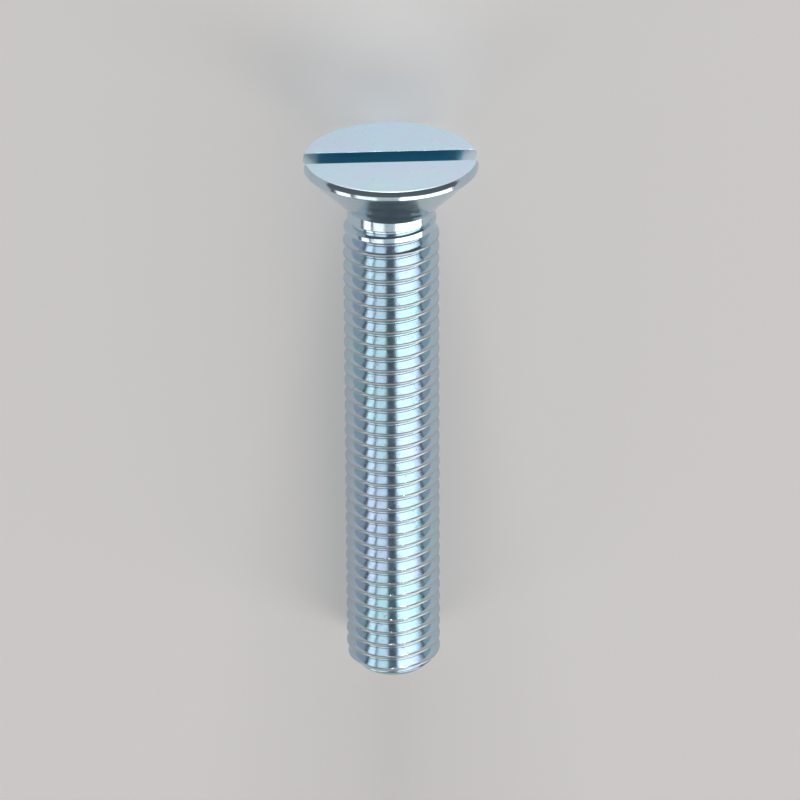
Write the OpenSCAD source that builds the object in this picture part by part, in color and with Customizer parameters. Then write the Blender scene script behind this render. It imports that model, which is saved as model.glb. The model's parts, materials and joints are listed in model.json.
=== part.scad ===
// Slotted countersunk machine screw with a metric thread up to its head.
// It is modelled on its own axis, with the flat of the head at z = 0 and the
// tip pointing down, and is then laid on its side on the plane z = 0, as it
// comes to rest on the rim of its head and the last crest of its thread.

/* [Length] */
// Overall length, from the flat of the head to the end of the tip
length = 70; // [40:1:80]

/* [Head] */
// Diameter over the rim of the head
head_d = 21.6; // [20.6:0.1:22.8]
// Diameter at which the seat cone, drawn on, would meet the flat of the head
head_sharp_d = 24; // [23.6:0.1:24.8]
// Included angle of the seat cone
seat_angle = 90; // [86:1:94]
// Radius of the edge between the flat of the head and its rim
rim_round = 0.5; // [0.2:0.05:0.5]
// Radius of the edge between the rim and the seat cone
seat_round = 0.3; // [0.1:0.05:0.4]

/* [Slot] */
// Width of the driver slot
slot_w = 3.2; // [2.4:0.1:4]
// Depth of the driver slot below the flat of the head
slot_depth = 3; // [2:0.1:3.4]

/* [Neck] */
// Diameter of the plain neck, which is that of the blank before the thread is rolled
neck_d = 10.8; // [10.7:0.05:11]
// Length of plain neck between the seat cone and the start of the groove
plain_neck = 0.15; // [0:0.05:2]

/* [Thread] */
// Diameter over the crests of the thread
thread_d = 11.85; // [11.7:0.05:12]
// Distance from one crest to the next
pitch = 1.75; // [1.65:0.05:2]
// Angle between the two flanks of the groove
flank_angle = 60; // [56:1:60]
// Depth of the groove, from crest to root
thread_depth = 1.07; // [0.95:0.01:1.1]
// Turns over which the groove reaches its full depth
runout_turns = 1.3; // [1:0.1:2]
// Angle from the upper side of the lying screw to the start of the groove
start_angle = 250; // [0:10:350]

/* [Tip] */
// Diameter of the flat end of the tip
tip_d = 8.6; // [7.6:0.1:9.4]
// Angle between the tip's chamfer and the axis
tip_angle = 45; // [35:1:50]

/* [Hidden] */

// Straight facets in one turn of the thread, a multiple of four
turn_facets = 36;
// Facets of the turned faces in the mesh
turned_facets = 144;
// Angle of the side of the screw that faces up when it lies, seen along its axis
upper_side = -90;
// How far one shape reaches into another that it joins
overlap = 0.6;

head_r = head_d / 2;
neck_r = neck_d / 2;
thread_r = thread_d / 2;
tip_r = tip_d / 2;
root_r = thread_r - thread_depth;
seat_slope = tan(seat_angle / 2);
flank_slope = tan(flank_angle / 2);

// Height of the rim, from the flat of the head to the seat cone
rim_h = (head_sharp_d / 2 - head_r) / seat_slope;
// Depth at which the seat cone meets the neck
seat_end = (head_sharp_d / 2 - neck_r) / seat_slope;
// Depth at which the groove starts
groove_start = seat_end + plain_neck;
// Width of the groove's bottom; groove and crest are equally wide at the neck's diameter
root_flat = pitch / 2 - 2 * (neck_r - root_r) * flank_slope;
// Height of one flank, measured along the axis
flank_h = thread_depth * flank_slope;

// Stations along the groove, from its start to a turn past the tip
stations = ceil((length - groove_start) / pitch + 1) * turn_facets;
// Stations over which the groove deepens
runout = round(runout_turns * turn_facets);

// Share of the full thread at a station, from 0 at the groove's start to 1
function grown(i) = let (t = min(max(i / runout, 0), 1)) t * t * (3 - 2 * t);
// Radius of the groove's bottom at a station
function bottom_r(i) = neck_r - grown(i) * (neck_r - root_r);
// Radius of the crest on the tip's side of the groove; metal pressed out of the groove raises it
function crest_r(i) = neck_r + grown(i) * (thread_r - neck_r);
// Point at a station's angle: a right-hand thread runs clockwise on its way to the tip
function at_station(i, r, z) =
    let (a = upper_side + start_angle - 360 * i / turn_facets) [r * cos(a), r * sin(a), z];
// Four corners of the groove at a station, from the head's side to the tip's side
function groove_corners(i) =
    let (z = -groove_start - pitch * i / turn_facets,
         bottom = bottom_r(i),
         above = crest_r(i - turn_facets),
         below = crest_r(i))
    [at_station(i, above, z + root_flat / 2 + (above - bottom) * flank_slope),
     at_station(i, bottom, z + root_flat / 2),
     at_station(i, bottom, z - root_flat / 2),
     at_station(i, below, z - root_flat / 2 - (below - bottom) * flank_slope)];

// Number of a groove corner; two and two are one point where the groove starts
function corner(i, j) = 4 * i + (i > 0 ? j : j < 2 ? 0 : 3);
// Number of a point in the ring inside the head, and in the ring past the tip
function head_ring(i) = 4 * (stations + 1) + i % turn_facets;
function tip_ring(i) = head_ring(i) + turn_facets;
// Two triangles that fill four points
function quad(a, b, c, d) = [[a, b, c], [a, c, d]];
function has_area(t) = t[0] != t[1] && t[1] != t[2] && t[2] != t[0];

// The whole shank as one closed surface that runs round with the groove, and on past the tip
module endless_shank() {
    tip_turn = stations - turn_facets;
    head_ring_z = -seat_end + overlap;
    tip_ring_z = -groove_start - pitch * (stations / turn_facets + 1);
    points = concat(
        [for (i = [0:stations]) each groove_corners(i)],
        [for (i = [0:turn_facets - 1]) at_station(i, neck_r, head_ring_z)],
        [for (i = [0:turn_facets - 1]) at_station(i, thread_r, tip_ring_z)]);
    groove = [for (i = [0:stations - 1], j = [0:2])
        each quad(corner(i, j), corner(i, j + 1), corner(i + 1, j + 1), corner(i + 1, j))];
    crest = [for (i = [0:tip_turn - 1])
        each quad(corner(i, 3), corner(i + turn_facets, 0),
                  corner(i + turn_facets + 1, 0), corner(i + 1, 3))];
    // The neck, and the triangles that close it where the first turn of the groove comes round
    neck = [for (i = [0:turn_facets - 2])
        each quad(head_ring(i), corner(i, 0), corner(i + 1, 0), head_ring(i + 1))];
    neck_last = corner(turn_facets - 1, 0);
    neck_seam = [
        [neck_last, head_ring(0), head_ring(turn_facets - 1)],
        [neck_last, corner(0, 0), head_ring(0)],
        [neck_last, corner(0, 3), corner(0, 0)],
        [neck_last, corner(turn_facets, 0), corner(0, 3)]];
    // The same past the tip, where the groove ends in a wall
    end_band = [for (i = [1:turn_facets - 1])
        each quad(corner(tip_turn + i, 3), tip_ring(i), tip_ring(i + 1), corner(tip_turn + i + 1, 3))];
    end_first = corner(tip_turn + 1, 3);
    end_seam = [
        [end_first, corner(tip_turn, 3), corner(stations, 0)],
        [end_first, corner(stations, 0), corner(stations, 3)],
        [end_first, corner(stations, 3), tip_ring(0)],
        [end_first, tip_ring(0), tip_ring(1)]];
    end_wall = quad(corner(stations, 0), corner(stations, 1), corner(stations, 2), corner(stations, 3));
    sides = concat(groove, crest, neck, neck_seam, end_band, end_seam, end_wall);
    polyhedron(points, concat(
        [for (t = sides) if (has_area(t)) t],
        [[for (i = [0:turn_facets - 1]) head_ring(i)]],
        [[for (i = [turn_facets - 1:-1:0]) tip_ring(i)]]));
}

// The shank, cut to length and chamfered by one cone that opens towards the head
module shank() {
    reach = length - seat_end + 2 * overlap;
    intersection() {
        endless_shank();
        translate([0, 0, -length])
            cylinder(h = reach, r1 = tip_r, r2 = tip_r + reach * tan(tip_angle), $fn = turned_facets);
    }
}

// Distance from the corner of rim and seat cone to where the rounding between them starts
seat_tangent = seat_round * tan(seat_angle / 4);

// Half section of the head, whose cone runs on inside the neck
module head_section() {
    stub_r = neck_r - overlap;
    stub_z = -(head_sharp_d / 2 - stub_r) / seat_slope;
    polygon([
        [0, 0],
        [head_r - rim_round, 0],
        [head_r, -rim_round],
        [head_r, -rim_h + seat_tangent],
        [head_r - seat_tangent * sin(seat_angle / 2), -rim_h - seat_tangent * cos(seat_angle / 2)],
        [stub_r, stub_z],
        [0, stub_z]]);
    translate([head_r - rim_round, -rim_round])
        circle(r = rim_round, $fn = turned_facets);
    translate([head_r - seat_round, -rim_h + seat_tangent])
        circle(r = seat_round, $fn = turned_facets);
}

module head() {
    difference() {
        rotate_extrude($fn = turned_facets)
            head_section();
        translate([-head_d / 2 - overlap, -slot_w / 2, -slot_depth])
            cube([head_d + 2 * overlap, slot_w, slot_depth + overlap]);
    }
}

// The lying screw touches the floor with the rounding below its rim, and with its last whole crest
rim_contact_z = rim_h - seat_tangent;
chamfer_z = length - (thread_r - tip_r) / tan(tip_angle);
lower_side_turn = ((start_angle + 180) % 360) / 360;
first_low_crest = groove_start + pitch * lower_side_turn + root_flat / 2 + flank_h;
last_low_crest = first_low_crest + pitch * floor((chamfer_z - first_low_crest) / pitch);
crest_contact_z = min(last_low_crest + pitch - root_flat - 2 * flank_h, chamfer_z);
contact_span = crest_contact_z - rim_contact_z;
contact_rise = head_r - seat_round - thread_r;
tilt = atan2(contact_rise, contact_span) + asin(seat_round / norm([contact_rise, contact_span]));
lift = crest_contact_z * sin(tilt) + thread_r * cos(tilt);
head_reach = rim_round - rim_round * cos(tilt) + (head_r - rim_round) * sin(tilt);
tip_reach = length * cos(tilt) + tip_r * sin(tilt);

// Lies with its head towards -Y, its upper side up, and its middle over the origin
module lying() {
    translate([0, (head_reach - tip_reach) / 2, lift])
        rotate([tilt - 90, 0, 180])
            children();
}

module screw() {
    color("LightSteelBlue")
        lying()
            union() {
                head();
                shank();
            }
}

screw();
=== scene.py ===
# %% [markdown]
# # A slotted countersunk screw, dressed for its portrait
# The object is one piece of steel: a cold-headed blank with a sawn driver slot
# and a rolled thread, plated with bright zinc and passivated pale blue. The
# frame that is loaded here holds it at its real size, lying on its side on the
# floor. This lesson replaces that plain solid with a finer mesh of the same
# form, gives it its finish, and lights it so that the thread can be read.

# %% Load the frame
import json
import math

import bmesh
import bpy
import numpy as np
from mathutils import Matrix, Vector


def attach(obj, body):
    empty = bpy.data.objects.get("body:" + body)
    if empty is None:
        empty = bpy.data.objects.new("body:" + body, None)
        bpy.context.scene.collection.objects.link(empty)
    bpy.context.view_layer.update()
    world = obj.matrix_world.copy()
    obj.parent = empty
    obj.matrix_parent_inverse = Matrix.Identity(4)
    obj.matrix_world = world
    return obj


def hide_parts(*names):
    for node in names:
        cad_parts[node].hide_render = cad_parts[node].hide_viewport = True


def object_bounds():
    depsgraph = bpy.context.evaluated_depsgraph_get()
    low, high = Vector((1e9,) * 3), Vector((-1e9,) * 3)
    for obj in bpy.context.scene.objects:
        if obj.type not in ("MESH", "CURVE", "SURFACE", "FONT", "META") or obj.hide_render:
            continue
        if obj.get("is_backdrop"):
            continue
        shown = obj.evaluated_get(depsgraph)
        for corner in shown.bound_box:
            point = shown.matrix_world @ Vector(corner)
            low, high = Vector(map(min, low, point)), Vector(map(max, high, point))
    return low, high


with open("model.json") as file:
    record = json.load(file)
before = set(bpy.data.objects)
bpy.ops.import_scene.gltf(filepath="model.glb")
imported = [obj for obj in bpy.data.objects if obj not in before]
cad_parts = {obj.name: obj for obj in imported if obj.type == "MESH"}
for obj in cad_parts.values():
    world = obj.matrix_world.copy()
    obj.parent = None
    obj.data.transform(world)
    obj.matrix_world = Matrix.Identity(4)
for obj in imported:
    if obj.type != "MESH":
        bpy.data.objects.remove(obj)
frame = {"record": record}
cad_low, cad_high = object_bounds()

MM = 0.001
print("CAD box in mm:", [round(v / MM, 2) for v in cad_high - cad_low])

# %% [markdown]
# ## The screw's own frame
# A turned part is easiest to draw on its own axis, with the flat of its head
# at z = 0 and its tip pointing down. The record of the frame says where the
# tip's end is and which way it faces, and that is enough to find the matrix
# that lays such a drawing onto the floor. The piece keeps this matrix, so a
# texture that reads object coordinates follows the screw's axis as well.

# %% Find the matrix that lays the screw down
LENGTH = 70 * MM

mounts = {m["name"]: m for m in frame["record"]["mounts"]}
tip_centre = Vector(mounts["tip_end"]["pos_m"])
along = -Vector(mounts["tip_end"]["axis"]).normalized()
across = Vector((-1, 0, 0))
back = along.cross(across)
head_centre = tip_centre + along * LENGTH
lay_down = Matrix.Translation(head_centre) @ Matrix((across, back, along)).transposed().to_4x4()
print("tilt off the floor:", round(math.degrees(math.asin(along.z)), 3), "degrees")

# %% [markdown]
# ## The thread's profile
# A thread is one groove that winds round the shank. Seen in section, it has a
# flat crest, two straight flanks and a rounded root; rolling leaves the edges
# of the crest a little soft. Two arcs and their mirror images describe it, and
# the groove is written as points from its edge on the head's side to its edge
# on the tip's side. The same function serves the run-out below the head, where
# the groove is still shallow, because the depth is an argument.

# %% Sizes of the shank
THREAD_R = 11.85 / 2 * MM
NECK_R = 10.8 / 2 * MM
TIP_R = 8.6 / 2 * MM
PITCH = 1.75 * MM
THREAD_DEPTH = 1.07 * MM
ROOT_R = THREAD_R - THREAD_DEPTH
FLANK_SLOPE = math.tan(math.radians(30))
ROOT_FLAT = PITCH / 2 - 2 * (NECK_R - ROOT_R) * FLANK_SLOPE
TIP_SLOPE = math.tan(math.radians(45))

HEAD_R = 21.6 / 2 * MM
HEAD_SHARP_R = 24 / 2 * MM
SEAT_END = HEAD_SHARP_R - NECK_R
RIM_H = HEAD_SHARP_R - HEAD_R
GROOVE_START = SEAT_END + 0.15 * MM
RUNOUT_TURNS = 1.3
START_ANGLE = 250

TURN = 96
ARC_STEPS = 3
CREST_SOFT = 0.11 * MM
ROOT_SOFT = 0.08 * MM
print("root flat in mm:", round(ROOT_FLAT / MM, 3))

# %% Points across the groove
def corner_arc(corner, before, after, radius, steps):
    """Points of the arc that rounds a corner, as (height, radius) pairs."""
    to_before = (before - corner) / np.linalg.norm(before - corner)
    to_after = (after - corner) / np.linalg.norm(after - corner)
    half = math.acos(np.clip(to_before @ to_after, -1, 1)) / 2
    reach = radius / math.tan(half)
    centre = corner + (to_before + to_after) / np.linalg.norm(to_before + to_after) * radius / math.sin(half)
    start, end = corner + to_before * reach - centre, corner + to_after * reach - centre
    sweep = math.pi - 2 * half
    turn = math.copysign(sweep, start[0] * end[1] - start[1] * end[0])
    points = []
    for k in range(steps + 1):
        c, s = math.cos(turn * k / steps), math.sin(turn * k / steps)
        points.append(centre + np.array([c * start[0] - s * start[1], s * start[0] + c * start[1]]))
    return points


def groove_points(bottom, above, below, grown):
    """The groove's section, as (height above its middle, radius) pairs from head side to tip side."""
    half = ROOT_FLAT / 2
    edge_up = np.array([half + (above - bottom) * FLANK_SLOPE, above])
    edge_down = np.array([-half - (below - bottom) * FLANK_SLOPE, below])
    root_up, root_down = np.array([half, bottom]), np.array([-half, bottom])
    axial = np.array([PITCH, 0])
    soft = max(grown, 1e-4)
    return (corner_arc(edge_up, edge_up + axial, root_up, CREST_SOFT * soft, ARC_STEPS)
            + corner_arc(root_up, edge_up, root_down, ROOT_SOFT * soft, ARC_STEPS)
            + corner_arc(root_down, root_up, edge_down, ROOT_SOFT * soft, ARC_STEPS)
            + corner_arc(edge_down, root_down, edge_down - axial, CREST_SOFT * soft, ARC_STEPS))


print("points across a full groove:", len(groove_points(ROOT_R, THREAD_R, THREAD_R, 1)))

# %% [markdown]
# ## The shank as one surface that runs round with the groove
# A helix can't be swept cleanly in flat slices, because every slice would cut
# the sloping groove at a different place. Here the stations follow the groove
# instead, from the head to the tip: each holds the points across the groove,
# and a station's last point is joined to the first point of the station one
# turn further on, which makes the crest. Right-hand threads run clockwise on
# their way to the tip.

# %% Build the threaded shank
def grown_share(i):
    """Share of the full thread at a station, from 0 where the groove starts to 1."""
    t = min(max(i / (RUNOUT_TURNS * TURN), 0), 1)
    return t * t * (3 - 2 * t)


def around(i, r, z):
    """Point at a station's angle."""
    a = math.radians(-90 + START_ANGLE - 360 * i / TURN)
    return (r * math.cos(a), r * math.sin(a), z)


def shank_surface():
    """Vertices and faces of the shank, open at the neck and running on past the tip."""
    turns = math.ceil((LENGTH - GROOVE_START) / PITCH + 1)
    last = turns * TURN
    verts = []
    for i in range(last + 1):
        grown = max(grown_share(i), 1e-4)
        bottom = NECK_R - grown * (NECK_R - ROOT_R)
        above = NECK_R + grown_share(i - TURN) * (THREAD_R - NECK_R)
        below = NECK_R + grown * (THREAD_R - NECK_R)
        middle = -GROOVE_START - PITCH * i / TURN
        for height, r in groove_points(bottom, above, below, grown):
            verts.append(around(i, r, middle + height))
    width = len(verts) // (last + 1)
    end_z = -GROOVE_START - PITCH * (turns + 1)
    neck_ring = len(verts)
    verts += [around(i, NECK_R, -SEAT_END) for i in range(TURN)]
    end_ring = len(verts)
    verts += [around(i, THREAD_R, end_z) for i in range(TURN)]

    def at(i, j):
        return width * i + j

    rim = width - 1
    faces = [(at(i, j), at(i + 1, j), at(i + 1, j + 1), at(i, j + 1)) for i in range(last) for j in range(rim)]
    faces += [(at(i, rim), at(i + 1, rim), at(i + TURN + 1, 0), at(i + TURN, 0)) for i in range(last - TURN)]
    faces += [(neck_ring + i, neck_ring + i + 1, at(i + 1, 0), at(i, 0)) for i in range(TURN - 1)]
    faces.append((neck_ring + TURN - 1, neck_ring, at(0, 0), at(0, rim), at(TURN, 0), at(TURN - 1, 0)))
    first = last - TURN
    faces += [(at(first + i, rim), at(first + i + 1, rim), end_ring + i + 1, end_ring + i) for i in range(1, TURN - 1)]
    faces.append((at(last - 1, rim), at(last, rim), end_ring, end_ring + TURN - 1))
    faces.append((at(first, rim), at(first + 1, rim), end_ring + 1, end_ring, at(last, rim), at(last, 0)))
    faces.append(tuple(at(last, j) for j in range(width)))
    faces.append(tuple(end_ring + i for i in range(TURN)))
    return verts, faces


shank_verts, shank_faces = shank_surface()
print("shank:", len(shank_verts), "points,", len(shank_faces), "faces")

# %% [markdown]
# ## The head
# The head is a turned form, so its half section is spun round the axis: a flat
# top, a soft upper edge, the narrow rim, and the seat cone. The spin uses the
# same angles as the stations of the thread, so that its last ring is the ring
# on which the neck begins. The slot is sawn afterwards, as in the factory, and
# its edges then get a fine rounding, because an edge without one never
# catches the light.

# %% Spin the head
FACE_R = 10.56 * MM
FACE_SUNK = 0.016 * MM
EDGE_ROUND = 0.12 * MM
BULGE_H = 0.72 * MM
SEAT_ROUND = 0.3 * MM
SLOT_W = 3.2 * MM
SLOT_DEPTH = 3.0 * MM
SLOT_SOFT = 0.015 * MM
RIM_STEPS = 8


def head_section():
    """Half section of the head, as (height, radius) pairs from the flat to the neck."""
    rise, run = BULGE_H - FACE_SUNK, HEAD_R - FACE_R
    bulge_r = (rise ** 2 + run ** 2) / (2 * run)
    bulge_angle = math.asin(rise / bulge_r)
    middle = np.array([-BULGE_H, HEAD_R - bulge_r])
    bulge = [middle + bulge_r * np.array([math.sin(a), math.cos(a)])
             for a in np.linspace(bulge_angle, 0, RIM_STEPS + 1)]
    face_centre = np.array([-FACE_SUNK, 0])
    rim_foot, neck = np.array([-RIM_H, HEAD_R]), np.array([-SEAT_END, NECK_R])
    edge = corner_arc(bulge[0], face_centre, bulge[1], EDGE_ROUND, ARC_STEPS + 1)
    return edge + bulge[2:] + corner_arc(rim_foot, bulge[-1], neck, SEAT_ROUND, ARC_STEPS) + [neck]


def new_mesh(name, verts, faces):
    """A closed mesh object whose normals point outwards."""
    mesh = bpy.data.meshes.new(name)
    mesh.from_pydata(verts, [], faces)
    bm = bmesh.new()
    bm.from_mesh(mesh)
    bmesh.ops.remove_doubles(bm, verts=bm.verts, dist=0.001 * MM)
    bmesh.ops.recalc_face_normals(bm, faces=bm.faces)
    bm.to_mesh(mesh)
    bm.free()
    obj = bpy.data.objects.new(name, mesh)
    bpy.context.scene.collection.objects.link(obj)
    return obj


def cut(obj, cutter, how):
    """Apply a boolean to obj, and put the cutter away."""
    step = obj.modifiers.new("cut", "BOOLEAN")
    step.operation = how
    step.solver = "EXACT"
    step.object = cutter
    bpy.context.view_layer.update()
    result = bpy.data.meshes.new_from_object(obj.evaluated_get(bpy.context.evaluated_depsgraph_get()))
    obj.modifiers.clear()
    obj.data = result
    bpy.data.objects.remove(cutter)


def spun(name, section, close_start=True):
    """A half section spun round the axis, closed by a flat face at each end."""
    verts = [around(i, r, z) for z, r in section for i in range(TURN)]
    faces = []
    for ring in range(len(section) - 1):
        for i in range(TURN):
            a, b = ring * TURN + i, ring * TURN + (i + 1) % TURN
            faces.append((a, b, b + TURN, a + TURN))
    faces.append(tuple(range(TURN)))
    faces.append(tuple(range((len(section) - 1) * TURN, len(section) * TURN)))
    return new_mesh(name, verts, faces)


head = spun("head", head_section())
print("head:", len(head.data.vertices), "points")

# %% Saw the slot and soften its edges
def box_mesh(name, low, high):
    """A plain box, used only to cut with."""
    corners = [(x, y, z) for x in (low[0], high[0]) for y in (low[1], high[1]) for z in (low[2], high[2])]
    faces = [(0, 1, 3, 2), (4, 6, 7, 5), (0, 4, 5, 1), (2, 3, 7, 6), (0, 2, 6, 4), (1, 5, 7, 3)]
    return new_mesh(name, corners, faces)


cut(head, box_mesh("saw", (-HEAD_R * 1.2, -SLOT_W / 2, -SLOT_DEPTH), (HEAD_R * 1.2, SLOT_W / 2, SLOT_DEPTH)), "DIFFERENCE")

bm = bmesh.new()
bm.from_mesh(head.data)
neck_caps = [f for f in bm.faces if f.calc_center_median().z < -SEAT_END + 0.01 * MM]
bmesh.ops.delete(bm, geom=neck_caps, context="FACES_ONLY")
sharp = [e for e in bm.edges if len(e.link_faces) == 2 and e.calc_face_angle() > math.radians(40)]
bmesh.ops.bevel(bm, geom=sharp, offset=SLOT_SOFT, segments=3, profile=0.5, affect="EDGES", clamp_overlap=False)
bm.to_mesh(head.data)
bm.free()
print("slotted head:", len(head.data.vertices), "points; edges softened:", len(sharp))

# %% Join head and shank, and cut the tip
def joined(name, obj, verts, faces):
    """obj's mesh and another surface, welded where they share points."""
    base = len(obj.data.vertices)
    all_verts = [tuple(v.co) for v in obj.data.vertices] + list(verts)
    all_faces = [tuple(p.vertices) for p in obj.data.polygons]
    all_faces += [tuple(base + k for k in f) for f in faces]
    bpy.data.objects.remove(obj)
    return new_mesh(name, all_verts, all_faces)


TIP_SOFT = 0.15 * MM
tip_reach = LENGTH * 1.2
tip_edge = np.array([-LENGTH, TIP_R])
tip_wide = np.array([-LENGTH + tip_reach, TIP_R + tip_reach * TIP_SLOPE])
tip_cone = corner_arc(tip_edge, np.array([-LENGTH, 0]), tip_wide, TIP_SOFT, ARC_STEPS) + [tip_wide]

screw = joined("screw_body", head, shank_verts, shank_faces)
cut(screw, spun("lathe", tip_cone), "INTERSECT")

bm = bmesh.new()
bm.from_mesh(screw.data)
open_edges = sum(1 for e in bm.edges if len(e.link_faces) != 2)
volume = bm.calc_volume() / MM ** 3
bm.free()
print("screw:", len(screw.data.polygons), "faces; open or doubled edges:", open_edges, "; volume in mm3:", round(volume, 1))

# %% [markdown]
# ## Smooth where it is turned, sharp where it is cut
# Rolled and turned faces shade smoothly, and the few true edges stay sharp.
# A broad flank beside a narrow rounding would borrow some of the rounding's
# tilt, so the normals are weighted by area. Each point also keeps its place on
# the screw's own axis, in millimetres, so the finish can tell a crest from a
# root whichever way the screw lies.

# %% Shade, keep the turned coordinates, lay the screw down
def lead_by_area(mesh, blend_angle):
    """Set each corner's normal to the area-weighted mean of the faces there that lie within an angle."""
    normals = [np.array(p.normal) for p in mesh.polygons]
    areas = [p.area for p in mesh.polygons]
    around_vertex = [[] for _ in mesh.vertices]
    for p in mesh.polygons:
        for v in p.vertices:
            around_vertex[v].append(p.index)
    limit = math.cos(blend_angle)
    corners = []
    for p in mesh.polygons:
        for v in p.vertices:
            near = [f for f in around_vertex[v] if normals[f] @ normals[p.index] > limit]
            corners.append(sum(normals[f] * areas[f] for f in near))
    corners = np.array(corners)
    corners /= np.linalg.norm(corners, axis=1)[:, None]
    mesh.normals_split_custom_set(corners.tolist())


points = np.array([v.co for v in screw.data.vertices]) / MM
own_place = screw.data.attributes.new("turned_mm", "FLOAT_VECTOR", "POINT")
own_place.data.foreach_set("vector", points.astype(np.float32).ravel())
screw.data.transform(lay_down)
screw.data.polygons.foreach_set("use_smooth", [True] * len(screw.data.polygons))
lead_by_area(screw.data, math.radians(35))
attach(screw, "root")
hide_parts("screw")
lowest = min(v.co.z for v in screw.data.vertices) / MM
print("lowest point above the floor in mm:", round(lowest, 3))

# %% [markdown]
# ## Zinc plating with a pale blue passivation
# Bright zinc is a mirror with a slight haze, and the passivation adds a film
# thin enough to tint it: light that bounces twice in a groove comes back twice
# as blue. The film's thickness wanders, so the tint drifts between steel blue,
# sea green and a breath of lilac. The crests are the skin of the rolled wire
# and rub against other screws in the barrel, so they're greyer and duller.

# %% Mix the zinc
def node_maker(material):
    """Clear a material and return (make a node, join two sockets)."""
    tree = material.node_tree
    tree.nodes.clear()

    def make(kind, **settings):
        node = tree.nodes.new(kind)
        for key, value in settings.items():
            if isinstance(node.inputs.get(key), bpy.types.NodeSocket):
                node.inputs[key].default_value = value
            else:
                setattr(node, key, value)
        return node

    return make, tree.links.new


ZINC = (0.550, 0.682, 0.785, 1)
ZINC_GREEN = (0.535, 0.705, 0.77, 1)
ZINC_LILAC = (0.572, 0.665, 0.795, 1)
CREST_GREY = (0.50, 0.57, 0.605, 1)
# The slot's darker teal is partly the film's own tint and partly painted shade of the deep slot; it fades out near the
# slot's open ends.
SLOT_TEAL_AND_SHADE = (0.25, 0.535, 0.665, 1)
SLOT_ROUGHNESS = 0.27
SLOT_SHADE_FADE = (9.1, 8.6)
ZINC_ROUGHNESS = (0.11, 0.18)
CREST_ROUGHNESS = 0.33
SATIN_ROUGHNESS = 0.50
ROOT_ROUGHNESS = 0.24
# Colour multiplied into the thread's roots: painted shade in the recess, slightly bluer.
ROOT_SHADE_PAINT = (0.70, 0.80, 0.86, 1)
MOTTLE = 0.5
SCUFF_BAND = (0.66, 0.72)
SCUFF_SHARE = 0.55
SCUFF_GREY = (0.40, 0.385, 0.39, 1)
PEEL_HEIGHT = 0.003 * MM
ROOT_BAND = (ROOT_R / MM + 0.03, ROOT_R / MM + 0.07)
CREST_BAND = (THREAD_R / MM - 0.045, THREAD_R / MM - 0.020)

zinc = bpy.data.materials.new("zinc_plated_steel")
zinc.use_nodes = True
make, join = node_maker(zinc)
output = make("ShaderNodeOutputMaterial")
metal = make("ShaderNodeBsdfPrincipled", Metallic=1.0)
join(metal.outputs["BSDF"], output.inputs["Surface"])

place = make("ShaderNodeAttribute", attribute_name="turned_mm")
parts = make("ShaderNodeSeparateXYZ")
flat_place = make("ShaderNodeCombineXYZ")
radius = make("ShaderNodeVectorMath", operation="LENGTH")
join(place.outputs["Vector"], parts.inputs[0])
join(parts.outputs["X"], flat_place.inputs["X"])
join(parts.outputs["Y"], flat_place.inputs["Y"])
join(flat_place.outputs[0], radius.inputs[0])

on_shank = make("ShaderNodeMath", operation="LESS_THAN")
on_shank.inputs[1].default_value = -GROOVE_START / MM
join(parts.outputs["Z"], on_shank.inputs[0])
near_crest = make("ShaderNodeMapRange", interpolation_type="SMOOTHSTEP")
near_crest.inputs["From Min"].default_value = CREST_BAND[0]
near_crest.inputs["From Max"].default_value = CREST_BAND[1]
join(radius.outputs["Value"], near_crest.inputs["Value"])
crest = make("ShaderNodeMath", operation="MULTIPLY")
join(near_crest.outputs["Result"], crest.inputs[0])
join(on_shank.outputs[0], crest.inputs[1])

drift = make("ShaderNodeTexNoise", Scale=0.16, Detail=3.0, Roughness=0.55)
join(place.outputs["Vector"], drift.inputs["Vector"])
film = make("ShaderNodeValToRGB")
film.color_ramp.elements[0].position = 0.36
film.color_ramp.elements[0].color = ZINC_GREEN
film.color_ramp.elements[1].position = 0.66
film.color_ramp.elements[1].color = ZINC_LILAC
middle_tint = film.color_ramp.elements.new(0.5)
middle_tint.color = ZINC
mottle = make("ShaderNodeTexNoise", Scale=0.9, Detail=3.0, Roughness=0.65)
join(place.outputs["Vector"], mottle.inputs["Vector"])
mottle_share = make("ShaderNodeMath", operation="MULTIPLY_ADD")
mottle_share.inputs[1].default_value = MOTTLE
mottle_share.inputs[2].default_value = -MOTTLE / 2
join(mottle.outputs["Fac"], mottle_share.inputs[0])
thickness = make("ShaderNodeMath", operation="ADD")
join(drift.outputs["Fac"], thickness.inputs[0])
join(mottle_share.outputs[0], thickness.inputs[1])
join(thickness.outputs[0], film.inputs["Fac"])
speck = make("ShaderNodeTexNoise", Scale=2.2, Detail=2.0, Roughness=0.5)
join(place.outputs["Vector"], speck.inputs["Vector"])
scuffed = make("ShaderNodeMapRange", interpolation_type="SMOOTHSTEP")
scuffed.inputs["From Min"].default_value = SCUFF_BAND[0]
scuffed.inputs["From Max"].default_value = SCUFF_BAND[1]
scuffed.inputs["To Max"].default_value = SCUFF_SHARE
join(speck.outputs["Fac"], scuffed.inputs["Value"])
marked = make("ShaderNodeMix", data_type="RGBA")
marked.inputs[7].default_value = SCUFF_GREY
join(scuffed.outputs["Result"], marked.inputs[0])
join(film.outputs["Color"], marked.inputs[6])
tint = make("ShaderNodeMix", data_type="RGBA")
join(crest.outputs[0], tint.inputs[0])
join(marked.outputs[2], tint.inputs[6])
tint.inputs[7].default_value = CREST_GREY
side_step = make("ShaderNodeMath", operation="ABSOLUTE")
join(parts.outputs["Y"], side_step.inputs[0])
between_walls = make("ShaderNodeMath", operation="LESS_THAN")
between_walls.inputs[1].default_value = SLOT_W / 2 / MM + 0.02
join(side_step.outputs[0], between_walls.inputs[0])
above_floor = make("ShaderNodeMath", operation="GREATER_THAN")
above_floor.inputs[1].default_value = -SLOT_DEPTH / MM - 0.02
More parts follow.
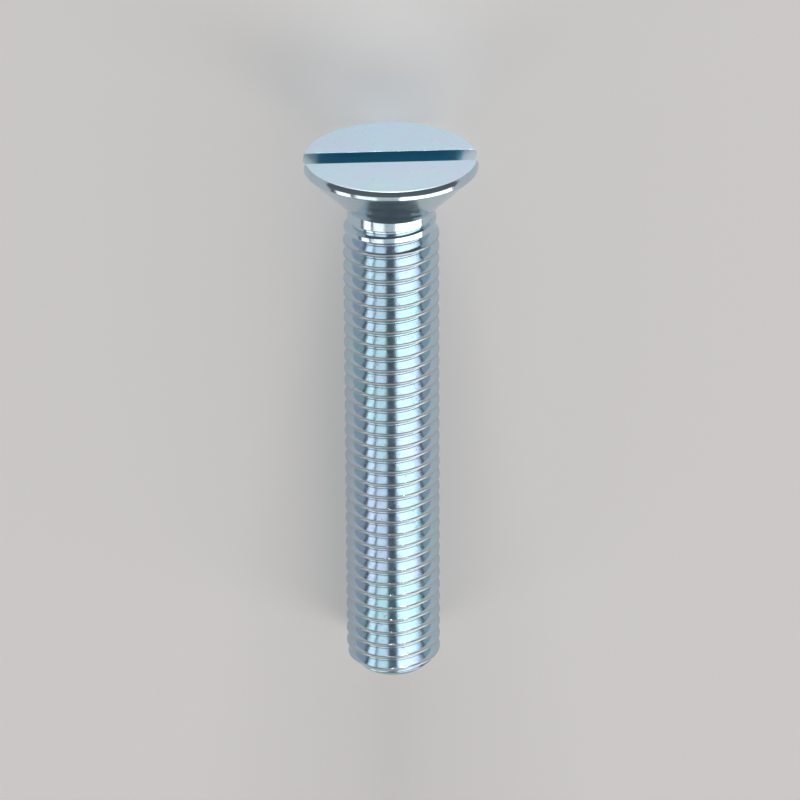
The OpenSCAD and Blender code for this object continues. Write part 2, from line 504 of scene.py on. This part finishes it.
join(parts.outputs["Z"], above_floor.inputs[0])
in_slot = make("ShaderNodeMath", operation="MULTIPLY")
join(between_walls.outputs[0], in_slot.inputs[0])
join(above_floor.outputs[0], in_slot.inputs[1])
below_seat = make("ShaderNodeMath", operation="SUBTRACT")
below_seat.inputs[0].default_value = 1
in_root = make("ShaderNodeMapRange", interpolation_type="SMOOTHSTEP")
in_root.inputs["From Min"].default_value = ROOT_BAND[0]
in_root.inputs["From Max"].default_value = ROOT_BAND[1]
join(radius.outputs["Value"], in_root.inputs["Value"])
join(in_root.outputs["Result"], below_seat.inputs[1])
root_share = make("ShaderNodeMath", operation="MULTIPLY")
join(below_seat.outputs[0], root_share.inputs[0])
join(on_shank.outputs[0], root_share.inputs[1])
# Painted shade: the base colour is multiplied darker and bluer where the groove's root is, on the shank only.
root_shade_paint = make("ShaderNodeMix", data_type="RGBA", blend_type="MULTIPLY")
root_shade_paint.inputs[7].default_value = ROOT_SHADE_PAINT
join(root_share.outputs[0], root_shade_paint.inputs[0])
join(tint.outputs[2], root_shade_paint.inputs[6])
# Painted shade in the slot, partly the film's teal: between the walls the base colour turns darker teal, fading back
# to zinc towards the open ends.
along_slot = make("ShaderNodeMath", operation="ABSOLUTE")
join(parts.outputs["X"], along_slot.inputs[0])
not_at_end = make("ShaderNodeMapRange", interpolation_type="SMOOTHSTEP")
not_at_end.inputs["From Min"].default_value = SLOT_SHADE_FADE[1]
not_at_end.inputs["From Max"].default_value = SLOT_SHADE_FADE[0]
not_at_end.inputs["To Min"].default_value = 1
not_at_end.inputs["To Max"].default_value = 0
join(along_slot.outputs[0], not_at_end.inputs["Value"])
slot_tint_and_shade_share = make("ShaderNodeMath", operation="MULTIPLY")
join(in_slot.outputs[0], slot_tint_and_shade_share.inputs[0])
join(not_at_end.outputs["Result"], slot_tint_and_shade_share.inputs[1])
slot_tint_and_shade = make("ShaderNodeMix", data_type="RGBA")
slot_tint_and_shade.inputs[7].default_value = SLOT_TEAL_AND_SHADE
join(slot_tint_and_shade_share.outputs[0], slot_tint_and_shade.inputs[0])
join(root_shade_paint.outputs[2], slot_tint_and_shade.inputs[6])
join(slot_tint_and_shade.outputs[2], metal.inputs["Base Color"])

haze = make("ShaderNodeTexNoise", Scale=1.1, Detail=4.0, Roughness=0.6)
join(place.outputs["Vector"], haze.inputs["Vector"])
plain_rough = make("ShaderNodeMapRange")
plain_rough.inputs["From Min"].default_value = 0.35
plain_rough.inputs["From Max"].default_value = 0.65
plain_rough.inputs["To Min"].default_value = ZINC_ROUGHNESS[0]
plain_rough.inputs["To Max"].default_value = ZINC_ROUGHNESS[1]
join(haze.outputs["Fac"], plain_rough.inputs["Value"])
rough = make("ShaderNodeMix", data_type="FLOAT", B=CREST_ROUGHNESS)
rough.inputs[3].default_value = CREST_ROUGHNESS
join(crest.outputs[0], rough.inputs[0])
join(plain_rough.outputs[0], rough.inputs[2])
rooted = make("ShaderNodeMix", data_type="FLOAT")
rooted.inputs[3].default_value = ROOT_ROUGHNESS
join(root_share.outputs[0], rooted.inputs[0])
join(rough.outputs[0], rooted.inputs[2])
on_face = make("ShaderNodeMapRange", interpolation_type="SMOOTHSTEP")
on_face.inputs["From Min"].default_value = -0.12
on_face.inputs["From Max"].default_value = -0.03
join(parts.outputs["Z"], on_face.inputs["Value"])
satin = make("ShaderNodeMix", data_type="FLOAT")
satin.inputs[3].default_value = SATIN_ROUGHNESS
join(on_face.outputs["Result"], satin.inputs[0])
join(rooted.outputs[0], satin.inputs[2])
sawn = make("ShaderNodeMix", data_type="FLOAT")
sawn.inputs[3].default_value = SLOT_ROUGHNESS
join(in_slot.outputs[0], sawn.inputs[0])
join(satin.outputs[0], sawn.inputs[2])
join(sawn.outputs[0], metal.inputs["Roughness"])

peel = make("ShaderNodeTexNoise", Scale=1.7, Detail=2.0, Roughness=0.5)
join(place.outputs["Vector"], peel.inputs["Vector"])
uneven = make("ShaderNodeBump", Strength=1.0, Distance=PEEL_HEIGHT)
join(peel.outputs["Fac"], uneven.inputs["Height"])
join(uneven.outputs["Normal"], metal.inputs["Normal"])

screw.data.materials.clear()
screw.data.materials.append(zinc)
print("nodes in the zinc:", len(zinc.node_tree.nodes))

# %% [markdown]
# ## A camera above the lying screw
# The photograph looks down on the head at about 24 degrees, through a long
# lens. The screw lies on its back here, so the same view comes from above:
# the camera's place is worked out in the screw's own frame and then carried
# over with the matrix that laid it down. A hand-held product shot is never
# quite level, so the picture is rolled by a fraction of a degree as well.

# %% Place the camera
PICTURE = 800
FOCAL_PX = 5487.76
SENSOR = 36.0
CAMERA_ABOVE = math.radians(26.315)
CAMERA_ROUND = math.radians(-2.7)
CAMERA_DISTANCE = 684.85 * MM
AIM = -33.17 * MM
ROLL = math.radians(0.286)
SIDESTEP = 7.95 / FOCAL_PX * CAMERA_DISTANCE


def own_direction(azimuth, elevation):
    """Unit vector in the screw's frame; azimuth 0 is the camera's side of the axis, 90 its right."""
    a, e = azimuth + CAMERA_ROUND, elevation
    return Vector((math.sin(a) * math.cos(e), -math.cos(a) * math.cos(e), math.sin(e)))


turn = lay_down.to_3x3()
to_camera = own_direction(0, CAMERA_ABOVE)
right = Vector((math.cos(CAMERA_ROUND), math.sin(CAMERA_ROUND), 0))
up = to_camera.cross(right)
camera_right = right * math.cos(ROLL) - up * math.sin(ROLL)
camera_up = right * math.sin(ROLL) + up * math.cos(ROLL)
camera_place = to_camera * CAMERA_DISTANCE + Vector((0, 0, AIM)) + camera_right * SIDESTEP

camera_data = bpy.data.cameras.new("camera")
camera_data.sensor_width = SENSOR
camera_data.lens = FOCAL_PX * SENSOR / PICTURE
camera_data.clip_start = 0.01
camera_data.clip_end = 50
camera = bpy.data.objects.new("camera", camera_data)
bpy.context.scene.collection.objects.link(camera)
axes = Matrix((turn @ camera_right, turn @ camera_up, turn @ to_camera)).transposed().to_4x4()
camera.matrix_world = Matrix.Translation(lay_down @ camera_place) @ axes
bpy.context.scene.camera = camera
print("camera at", [round(v, 3) for v in camera.matrix_world.translation], "lens", round(camera_data.lens, 1))

# %% [markdown]
# ## Floor and soft boxes
# A mirror-bright thread shows its surroundings and little else, so lighting it
# means placing things for it to reflect. Seen from the camera, the grooves
# look away past the tip: a broad warm-white box there gives the bright band on
# the right, a weaker pair gives the bluish band on the left, and the gap
# between them makes the dark stripe down the middle. Boxes on the head's side
# light the floor that the flat of the head reflects.

# %% Lay the floor and set the lamps
FLOOR_SIDE = 12.0
FLOOR_COLOUR = (0.96, 0.96, 0.96, 1)
FLOOR_GLOW_SHARE = 0.22
WORLD_LEVEL = 0.14
LAMP_DISTANCE = 1.1

floor_mesh = bpy.data.meshes.new("floor")
s = FLOOR_SIDE / 2
floor_mesh.from_pydata([(-s, -s, 0), (s, -s, 0), (s, s, 0), (-s, s, 0)], [], [(0, 1, 2, 3)])
floor = bpy.data.objects.new("floor", floor_mesh)
bpy.context.scene.collection.objects.link(floor)
floor_paint = bpy.data.materials.new("floor_paint")
floor_paint.use_nodes = True
make, join = node_maker(floor_paint)
output = make("ShaderNodeOutputMaterial")
paint = make("ShaderNodeBsdfPrincipled", Roughness=0.9)
paint.inputs["Base Color"].default_value = FLOOR_COLOUR
paint.inputs["Specular IOR Level"].default_value = 0.1
glow = make("ShaderNodeEmission", Strength=1.0)
ray = make("ShaderNodeLightPath")
mirrored = make("ShaderNodeMath", operation="MAXIMUM")
join(ray.outputs["Is Glossy Ray"], mirrored.inputs[0])
join(ray.outputs["Is Transmission Ray"], mirrored.inputs[1])
seen = make("ShaderNodeMath", operation="MAXIMUM")
join(ray.outputs["Is Camera Ray"], seen.inputs[0])
join(mirrored.outputs[0], seen.inputs[1])
glow_share = make("ShaderNodeMath", operation="MULTIPLY")
glow_share.inputs[1].default_value = FLOOR_GLOW_SHARE
join(seen.outputs[0], glow_share.inputs[0])
pale = make("ShaderNodeMixShader")
join(glow_share.outputs[0], pale.inputs[0])
join(paint.outputs["BSDF"], pale.inputs[1])
join(glow.outputs["Emission"], pale.inputs[2])
join(pale.outputs["Shader"], output.inputs["Surface"])
floor_mesh.materials.append(floor_paint)
floor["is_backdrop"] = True

world = bpy.data.worlds.new("studio")
world.use_nodes = True
background = world.node_tree.nodes["Background"]
background.inputs["Color"].default_value = (1, 1, 1, 1)
background.inputs["Strength"].default_value = WORLD_LEVEL
bpy.context.scene.world = world


def area_lamp(name, centre, out, rise, size, radiance, colour):
    """A rectangular lamp at centre whose back faces out, of this radiance over its whole face."""
    lamp = bpy.data.lights.new(name, "AREA")
    lamp.shape = "RECTANGLE"
    lamp.size, lamp.size_y = size
    lamp.energy = radiance * math.pi * lamp.size * lamp.size_y
    lamp.color = colour
    obj = bpy.data.objects.new(name, lamp)
    bpy.context.scene.collection.objects.link(obj)
    obj.matrix_world = Matrix.Translation(centre) @ Matrix((rise.cross(out), rise, out)).transposed().to_4x4()
    print(name, "size in m:", round(lamp.size, 2), round(lamp.size_y, 2), "watts:", round(lamp.energy, 2))


def soft_box(name, azimuths, elevations, radiance, colour=(1, 1, 1)):
    """A lamp that covers these degrees round and above the screw, seen from its middle."""
    azimuth, elevation = (math.radians(sum(pair) / 2) for pair in (azimuths, elevations))
    half_w, half_h = (math.radians(abs(pair[1] - pair[0]) / 2) for pair in (azimuths, elevations))
    size = (2 * LAMP_DISTANCE * math.tan(half_w) * math.cos(elevation), 2 * LAMP_DISTANCE * math.tan(half_h))
    out = turn @ own_direction(azimuth, elevation)
    rise = out.cross((turn @ Vector((0, 0, 1))).cross(out).normalized())
    area_lamp(name, lay_down @ Vector((0, 0, AIM)) + out * LAMP_DISTANCE, out, rise, size, radiance, colour)


soft_box("box_right", (12, 87), (-38, -19), 2.65, (1, 0.92, 0.86))
soft_box("box_left_outer", (-76, -54), (-38, -19), 1.9, (1, 0.93, 0.87))
soft_box("box_left_inner", (-48, -17), (-38, -19), 1.55, (1, 0.93, 0.87))
soft_box("box_bridge", (-17, 12), (-27, -15), 0.55)
area_lamp("box_head", Vector((0, -0.9, 0.085)), Vector((0, -1, 0)), Vector((0, 0, 1)), (0.30, 0.11), 90, (1, 0.97, 0.96))

# %% [markdown]
# ## Colour management and the last checks
# The Standard view shows colours as they're written. The sizes of the plain
# solid and of this dressed one are printed side by side.

# %% Finish
bpy.context.scene.view_settings.view_transform = "Standard"
new_low, new_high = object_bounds()
sizes = {"cad": [list(cad_low), list(cad_high)], "dressed": [list(new_low), list(new_high)]}
for name, (low, high) in sizes.items():
    print(name, "box in mm:", [round(v / MM, 3) for v in low], [round(v / MM, 3) for v in high])
